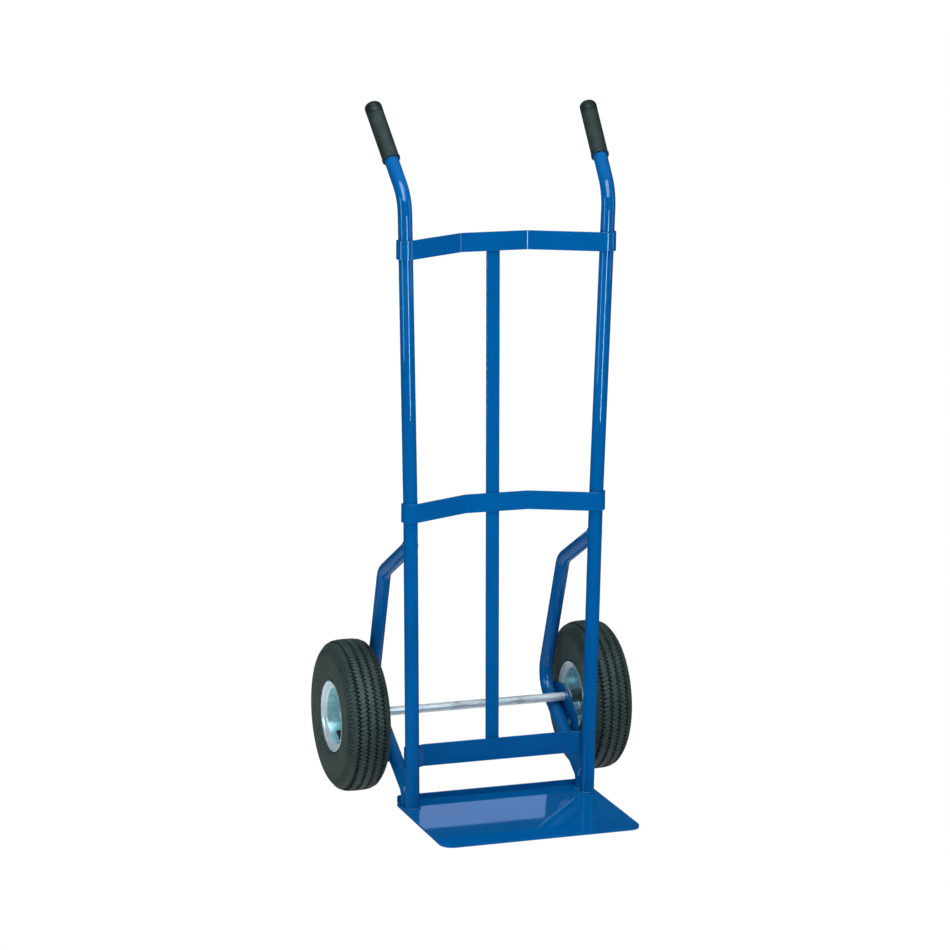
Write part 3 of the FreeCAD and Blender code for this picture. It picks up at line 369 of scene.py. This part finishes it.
def build_tyre(side, sign):
    half = tyre_half()
    right = half[1:]
    loop = [half[0]] + right + [(0.0, 120.4, 0.0, 0.0, 2)] + [(-x, r, z, p, m) for x, r, z, p, m in reversed(right)]
    base = np.array([(p[0], p[1], p[2], p[3]) for p in loop])
    cols = len(loop)
    rows, verts = 0, []
    for k in range(TREAD_PITCHES):
        for f in STEPS:
            angle = 2.0 * math.pi * (k + f) / TREAD_PITCHES
            shift = ZIGZAG * (1.0 - 4.0 * abs(f - 0.5)) * -1.0
            cut = 1.0 if 0.63 < f < 0.81 else 0.0
            x = base[:, 0] + shift * base[:, 2]
            r = base[:, 1] - SIPE_DEEP * cut * base[:, 3]
            x = x - np.sign(base[:, 0]) * SIPE_DEEP * 0.75 * cut * base[:, 3]
            ca, sa = math.cos(angle), math.sin(angle)
            for xv, rv in zip(x, r):
                verts.append((sign * (WHEEL_X + xv), AXLE_Y + rv * sa, AXLE_Z - rv * ca))
            rows += 1
    faces = grid_faces(rows, cols, True, True)
    mats = []
    for i in range(rows):
        f = STEPS[i % len(STEPS)]
        in_cut = 0.63 < f < 0.79
        for j in range(cols):
            a, b = loop[j], loop[(j + 1) % cols]
            # groove floors and sipe cuts get the darker rubber, painted shade
            if a[4] == 1 and b[4] == 1:
                mats.append(1)
            elif in_cut and a[3] > 0.5 and b[3] > 0.5:
                mats.append(1)
            elif a[4] == 2 and b[4] == 2:
                mats.append(2)
            else:
                mats.append(0)
    new_piece(side + "_tyre_tread", verts, faces, [TYRE, GROOVE_PAINTED_SHADE, TYRE_WALL], mats, sharp=32, body=side + "_wheel",
              replaces=(side + "_tyre",))


for side, sign in SIDES:
    build_tyre(side, sign)


# ------------------------------------------------------------------ rims, as turned sections with rounded bends
def rounded_run(points, steps=7):
    """Sampled mid-line through (u, v, bend radius) corners."""
    out = []
    for i, (u, v, r) in enumerate(points):
        here = Vector((u, v))
        if r <= 0 or i in (0, len(points) - 1):
            out.append(here)
            continue
        d1 = (Vector(points[i - 1][:2]) - here).normalized()
        d2 = (Vector(points[i + 1][:2]) - here).normalized()
        half = d1.angle(d2) / 2.0
        centre = here + (d1 + d2).normalized() * (r / math.sin(half))
        a = here + d1 * (r / math.tan(half)) - centre
        b = here + d2 * (r / math.tan(half)) - centre
        turn = a.angle_signed(b)
        for k in range(steps + 1):
            t = -turn * k / steps
            out.append(centre + Vector((a.x * math.cos(t) - a.y * math.sin(t), a.x * math.sin(t) + a.y * math.cos(t))))
    return out


def sheet_loop(run, thick, lip=4):
    """Closed outline of a sheet section round its mid-line, with rounded ends."""
    left, right = [], []
    for i, p in enumerate(run):
        a = run[max(i - 1, 0)]
        b = run[min(i + 1, len(run) - 1)]
        d = (b - a).normalized()
        n = Vector((-d.y, d.x)) * (thick / 2.0)
        left.append(p + n)
        right.append(p - n)
    d = (run[-1] - run[-2]).normalized()
    end = []
    for k in range(1, lip):
        t = math.pi * k / lip
        n = Vector((-d.y, d.x))
        end.append(run[-1] - d * (thick * 0.25) + (n * math.cos(t) + d * math.sin(t)) * (thick / 2.0))
    left[-1] = left[-1] - d * (thick * 0.25)
    right[-1] = right[-1] - d * (thick * 0.25)
    return left + end + right[::-1]


RIM_RUN = [(1.0, 11.56, 0), (1.0, 45.5, 5.0), (27.5, 50.0, 3.2), (29.5, 57.0, 3.0), (34.0, 60.3, 0)]


def build_rim(side, sign, half, face):
    run = rounded_run([(face * u, v, r) for u, v, r in RIM_RUN])
    # the disc's mid-line, used as it is, with no pressed step
    pressed = []
    for p in run:
        pressed.append(p)
    loop = sheet_loop(pressed, 2.0)
    cols, rows = len(loop), 144
    hole_angle = math.pi  # the valve sits at the bottom, below the axle
    verts, mats = [], []
    for i in range(rows):
        angle = 2.0 * math.pi * i / rows
        for p in loop:
            verts.append((sign * (WHEEL_X + p.x), AXLE_Y + p.y * math.sin(angle), AXLE_Z + p.y * math.cos(angle)))
    for i in range(rows):
        for j in range(cols):
            a, b = loop[j], loop[(j + 1) % cols]
            # the flange ring takes the painted-highlight zinc, the dish the painted-shade zinc
            mats.append(0 if min(abs(a.x), abs(b.x)) > 26.0 else 1)
    new_piece("%s_rim_%s_pressing" % (side, half), verts, grid_faces(rows, cols, True, True), [FLANGE_PAINTED_HIGHLIGHT, DISH_PAINTED_SHADE], mats,
              sharp=40, body=side + "_wheel", replaces=("%s_rim_%s" % (side, half),))


for side, sign in SIDES:
    build_rim(side, sign, "outer", 1.0)
    build_rim(side, sign, "inner", -1.0)


# ------------------------------------------------------------------ grips
def build_grip(side, sign):
    rake, splay, drop = (math.radians(45.5), 0.059, 0.0) if sign < 0 else (math.radians(48.3), 0.0785, 2.7)
    heading = Vector((sign * splay, math.sin(rake), math.cos(rake))).normalized()
    lean = (177.96 - 164.4) / (1039.8 - 515.0)
    corner = Vector((sign * (177.96 - lean * drop), UPRIGHT_Y, 1039.8 - drop))
    start = corner + heading * 78.5
    across = heading.cross(Vector((1, 0, 0))).normalized()
    other = heading.cross(across).normalized()
    ribs, per = 32, 6
    cols = ribs * per
    rows = []  # (distance, radius, rib share)
    rows += [(110.6, 0.0, 0), (110.6, 6.0, 0), (110.6, 12.06, 0), (60.0, 12.06, 0), (0.5, 12.06, 0), (0.0, 12.5, 0), (0.0, 14.5, 0), (0.35, 15.0, 0), (1.0, 15.2, 0), (3.4, 15.2, 0),
             (4.2, 15.0, 0), (4.8, 14.35, 0), (5.6, 14.2, 0), (6.4, 14.3, 0)]
    z = 7.2
    while z < 92.0:
        rows += [(z, 14.5, 0.2), (z + 0.5, 14.5, 1.0), (z + 1.7, 14.5, 1.0), (z + 2.2, 14.5, 0.2)]
        z += 2.7
    ribbed = len(rows)
    rows += [(z, 14.1, 0), (z + 0.7, 13.4, 0), (z + 2.0, 13.4, 0), (z + 2.6, 14.3, 0), (z + 3.4, 14.5, 0), (104.0, 14.5, 0), (109.7, 14.5, 0)]
    for k in range(1, 9):
        t = math.pi / 2 * k / 8
        rows.append((109.7 + 7.0 * math.sin(t), 7.5 + 7.0 * math.cos(t), 0))
    rows += [(116.72, 5.0, 0), (116.72, 0.0, 0)]
    rng = random.Random(11 if sign < 0 else 12)
    verts, faces = [], []
    ring_start = []
    for d, r, share in rows:
        ring_start.append(len(verts))
        centre = start + heading * d
        if r == 0.0:
            verts.append(centre)
            continue
        for j in range(cols):
            f = (j % per) / per
            rise = 0.55 * (0.5 - 0.5 * math.cos(2 * math.pi * f)) if share else 0.0
            rr = r - 0.15 - (0.45 - rise) * share if share else r
            if share == 1.0:
                rr += rng.uniform(-0.03, 0.03)
            a = 2 * math.pi * j / cols
            verts.append(centre + (across * math.cos(a) + other * math.sin(a)) * rr)
    mats = []
    for i in range(len(rows) - 1):
        a, b = ring_start[i], ring_start[i + 1]
        mats += [1 if i >= ribbed else 0] * cols
        if rows[i][1] == 0.0:
            faces += [(a, b + j, b + (j + 1) % cols) for j in range(cols)]
        elif rows[i + 1][1] == 0.0:
            faces += [(a + j, b, a + (j + 1) % cols) for j in range(cols)]
        else:
            faces += [(a + j, a + (j + 1) % cols, b + (j + 1) % cols, b + j) for j in range(cols)]
    new_piece(side + "_grip_sleeve", [tuple(v) for v in verts], faces, [GRIP, GRIP_END], mats, sharp=50, body="frame",
              replaces=(side + "_grip",))


for side, sign in SIDES:
    build_grip(side, sign)


# ------------------------------------------------------------------ weld beads
def bead(name, path, radius, closed, seed, squash=0.8, ripple=2.6, material=None):
    """A rippled weld bead swept along a path of points, in mm."""
    rng = random.Random(seed)
    pts = [Vector(p) for p in path]
    dist = [0.0]
    for a, b in zip(pts, pts[1:] + ([pts[0]] if closed else [])):
        dist.append(dist[-1] + (b - a).length)
    total = dist[-1]
    count = max(int(total / 0.55), 12)
    ring, sides = [], 10
    wander = [rng.uniform(-1, 1) for _ in range(count + 3)]

    def at(s):
        s = s % total if closed else min(max(s, 0.0), total)
        for i in range(len(dist) - 1):
            if s <= dist[i + 1] + 1e-9:
                a = pts[i]
                b = pts[(i + 1) % len(pts)]
                k = (s - dist[i]) / max(dist[i + 1] - dist[i], 1e-9)
                return a.lerp(b, k)
        return pts[-1]

    steps = count if closed else count + 1
    up = None
    for i in range(steps):
        s = total * i / count
        p = at(s)
        d = (at(s + 0.4) - at(s - 0.4))
        d = d.normalized() if d.length > 1e-9 else Vector((0, 0, 1))
        if up is None:
            up = d.orthogonal().normalized()
        up = (up - d * up.dot(d)).normalized()
        right = d.cross(up)
        phase = (s / ripple) % 1.0
        r = radius * (0.88 + 0.17 * math.sin(math.pi * phase) + 0.05 * wander[i])
        if not closed:
            edge = min(s, total - s) / radius
            if edge < 1.0:
                r *= math.sqrt(max(1.0 - (1.0 - edge) ** 2, 0.06))
        p = p + right * (0.10 * radius * wander[(i * 7) % count])
        ring.append([p + (up * math.cos(2 * math.pi * k / sides) + right * math.sin(2 * math.pi * k / sides)) * r for k in range(sides)])
    verts = [tuple(v) for r in ring for v in r]
    faces = grid_faces(len(ring), sides, closed, True)
    if not closed:
        faces.append(tuple(range(sides)))
        faces.append(tuple(reversed(range(len(verts) - sides, len(verts)))))
    return verts, faces


def join_beads(name, beads, body="frame"):
    verts, faces = [], []
    for v, f in beads:
        offset = len(verts)
        verts += v
        faces += [tuple(i + offset for i in face) for face in f]
    new_piece(name, verts, faces, [BLUE], None, sharp=60, body=body)


for side, sign in SIDES:
    seed = 100 if sign < 0 else 200
    made = []
    # foot of the upright and of the brace, on the toe plate
    for dy in (0.0, 24.25):
        centre = side_point(sign, 0.0, dy, 4.0)
        ring = []
        for k in range(48):
            a = 2 * math.pi * k / 48
            ring.append((centre.x + 12.5 * math.cos(a), centre.y + 12.5 * math.sin(a), 4.7))
        made.append(bead("foot", ring, 1.7, True, seed + int(dy)))
    # saddle joint at the top of the brace
    y0, z0 = 0.0, 458.9
    d = Vector((0.0, 144.8, 381.1 - 458.9)).normalized()
    e1, e2 = Vector((1, 0, 0)), d.cross(Vector((1, 0, 0)))
    ring = []
    for k in range(64):
        a = 2 * math.pi * k / 64
        px, w = 12.4 * math.cos(a), e2 * (12.4 * math.sin(a))
        depth = math.sqrt(max(12.6 ** 2 - px ** 2, 0.0))
        t = (depth - w.y) / d.y
        q = d * t + w
        ring.append(tuple(side_point(sign, px, q.y, z0 + q.z)))
    made.append(bead("saddle", ring, 1.6, True, seed + 5))
    # wrapped ends of the upper and middle crossbars
    for base, z_mid in ((939.5, 955.5), (499.5, 515.5)):
        run = []
        for k in range(9):
            z = base + 4.0 + 24.0 * k / 8
            hx = upright_x(z)
            run.append((sign * (hx + 12.7), UPRIGHT_Y + 3.4, z))
        made.append(bead("wrap", run, 1.5, False, seed + int(base)))
    # lower crossbar's ends, on the back of the uprights, along its top and bottom edges
    for z in (69.5, 107.5):
        hx = upright_x(z)
        run = [(sign * (hx - 7.5 + 1.5 * k), UPRIGHT_Y + 12.6, z + (0.5 if z > 100 else -0.5)) for k in range(11)]
        made.append(bead("low", run, 1.5, False, seed + int(z)))
    # axle bracket along the brace tube
    edge = [(150.0, 90.0), (214.0, 128.4)]
    run = []
    for k in range(13):
        y = 86.0 + (205.0 - 86.0) * k / 12
        z = 65.5 + (123.2 - 65.5) * (y - 86.0) / (205.0 - 86.0)
        run.append(tuple(side_point(sign, 12.6, y, z - 1.2)))
    made.append(bead("bracket", run, 1.6, False, seed + 9))
    join_beads(side + "_weld_beads", made)

# centre bar to the three crossbars, on both edges behind
made = []
for base, rear_y, height in ((939.5, 11.5, 25.0), (499.5, -0.5, 30.0), (69.5, -12.2, 34.0)):
    for sx in (-1, 1):
        run = []
        for k in range(9):
            z = base + 2.5 + (height - 5.0) * k / 8
            run.append((BAR_X + sx * 11.9, rear_y + 0.8 + 0.0272 * (z - base), z))
        made.append(bead("bar", run, 1.3, False, 300 + int(base) + sx))
join_beads("centre_bar_weld_beads", made)

# ------------------------------------------------------------------ stage, light and camera
floor_mesh = bpy.data.meshes.new("studio_floor")
floor_mesh.from_pydata([(-30, -30, 0), (30, -30, 0), (30, 60, 0), (-30, 60, 0)], [], [(0, 1, 2, 3)])
floor = bpy.data.objects.new("studio_floor", floor_mesh)
scene.collection.objects.link(floor)
s = Shader("studio_floor")
axes = s.add("ShaderNodeSeparateXYZ")
s.link(s.coords, axes.inputs[0])
glow = s.ramp(axes.outputs[1], 0.25, 0.97, (-2.6, -1.25))
s.set(Base_Color=s.mix(s.ramp(s.noise(0.7, 2.0), 0.0, 1.0), (0.44, 0.44, 0.44), (0.45, 0.45, 0.45)), Roughness=0.9,
      Specular_IOR_Level=0.0, Emission_Color=(1.0, 1.0, 1.0), Emission_Strength=glow)
floor_mesh.materials.append(s.mat)
floor.location.z = -0.0004
floor.visible_glossy = False
floor.visible_camera = False

# a plain white surround, seen only directly: it neither lights the truck nor shows in its gloss
ring = [(28.0 * math.cos(2 * math.pi * k / 24), 28.0 * math.sin(2 * math.pi * k / 24)) for k in range(24)]
room_mesh = bpy.data.meshes.new("studio_surround")
room_mesh.from_pydata([(x, y, z) for z in (-0.001, 24.0) for x, y in ring], [],
                      [tuple(range(24)), tuple(range(47, 23, -1))] + [(k, (k + 1) % 24, 24 + (k + 1) % 24, 24 + k) for k in range(24)])
room = bpy.data.objects.new("studio_surround", room_mesh)
scene.collection.objects.link(room)
s = Shader("studio_surround")
s.set(Base_Color=(0.0, 0.0, 0.0), Roughness=1.0, Specular_IOR_Level=0.0,
      Emission_Color=s.mix(s.noise(0.3, 2.0), (1.0, 1.0, 1.0), (1.02, 1.02, 1.02)), Emission_Strength=1.0)
room_mesh.materials.append(s.mat)
room.visible_glossy = room.visible_diffuse = room.visible_transmission = room.visible_shadow = False

world = bpy.data.worlds.new("studio")
scene.world = world
world.use_nodes = True
sky = world.node_tree
coords = sky.nodes.new("ShaderNodeTexCoord")
split = sky.nodes.new("ShaderNodeSeparateXYZ")
shade = sky.nodes.new("ShaderNodeValToRGB")
half = sky.nodes.new("ShaderNodeMapRange")
sky.links.new(coords.outputs["Generated"], split.inputs[0])
half.inputs["From Min"].default_value = -1.0
half.inputs["From Max"].default_value = 1.0
sky.links.new(split.outputs[2], half.inputs["Value"])
sky.links.new(half.outputs[0], shade.inputs["Fac"])
for k, (at, grey) in enumerate(((0.0, 0.45), (0.26, 0.25), (0.37, 0.02), (0.70, 0.02), (1.0, 0.20))):
    stop = shade.color_ramp.elements[k] if k < 2 else shade.color_ramp.elements.new(at)
    stop.position = at
    stop.color = (grey, grey, grey, 1.0)
sky.links.new(shade.outputs[0], sky.nodes["Background"].inputs["Color"])
sky.nodes["Background"].inputs["Strength"].default_value = 1.0
scene.view_settings.view_transform = "Standard"
scene.view_settings.look = "None"


def softbox(name, location, target, size, radiance, colour=(1, 1, 1), glossy=True, diffuse=True):
    data = bpy.data.lights.new(name, "AREA")
    data.shape = "RECTANGLE"
    data.size, data.size_y = size
    data.energy = radiance * math.pi * size[0] * size[1]
    data.color = colour
    light = bpy.data.objects.new(name, data)
    scene.collection.objects.link(light)
    light.location = location
    aim = Vector(target) - Vector(location)
    light.rotation_euler = aim.to_track_quat("-Z", "Y").to_euler()
    light.visible_camera = False
    light.visible_glossy = glossy
    light.visible_diffuse = diffuse
    return light


softbox("key_softbox", (-0.55, -1.25, 2.35), (0.0, 0.0, 0.75), (1.1, 1.5), 5.2, glossy=False)
softbox("key_reflection", (-0.45, -1.25, 2.45), (-0.1, 0.0, 1.0), (1.5, 1.6), 6.5, (0.80, 0.90, 1.0), diffuse=False)
softbox("front_strip", (0.06, -1.15, 0.70), (0.06, 0.0, 0.70), (0.15, 0.52), 20.0, (0.62, 0.88, 1.0))
softbox("left_strip", (-1.75, -0.40, 0.95), (0.0, -0.03, 0.75), (0.45, 1.1), 5.0, (0.5, 0.86, 1.0), diffuse=False)
softbox("left_fill", (-1.75, -0.40, 0.95), (0.0, -0.03, 0.75), (0.45, 1.3), 3.0, glossy=False)
softbox("right_fill", (2.4, -1.2, 1.2), (0.0, 0.0, 0.6), (0.9, 1.6), 1.0)
softbox("rear_panel", (0.37, 2.50, 0.598), (0.37, 0.0, 0.598), (1.34, 0.606), 0.95, (0.46, 0.61, 1.0))
softbox("top_softbox", (0.0, -0.35, 3.0), (0.0, -0.1, 0.0), (1.5, 1.5), 7.0, glossy=False)
beam = softbox("plate_beam", (0.03, -0.50, 1.9), (0.03, -0.15, 0.0), (0.3, 0.3), 0.9, glossy=False)
beam.data.spread = math.radians(40.0)
softbox("left_low", (-2.0, -0.9, 0.45), (-0.25, 0.1, 0.15), (0.9, 0.9), 3.2, glossy=False)

az, el, roll, dist = math.radians(-19.4), math.radians(12.3), math.radians(0.6), 6.1445
back = Vector((math.sin(az) * math.cos(el), -math.cos(az) * math.cos(el), math.sin(el)))
right = (-back).cross(Vector((0, 0, 1))).normalized()
up = right.cross(-back)
right2 = right * math.cos(roll) + up * math.sin(roll)
up2 = up * math.cos(roll) - right * math.sin(roll)
target = Vector((-0.0519, -0.0355, 0.5717))
camera_data = bpy.data.cameras.new("camera")
camera_data.sensor_width = 36.0
camera_data.lens = 3698.0 / 950.0 * 36.0
camera_data.clip_start, camera_data.clip_end = 0.1, 100.0
camera = bpy.data.objects.new("camera", camera_data)
scene.collection.objects.link(camera)
place = Matrix((right2, up2, back)).transposed().to_4x4()
place.translation = target + back * dist
camera.matrix_world = place
scene.camera = camera

bpy.context.view_layer.update()
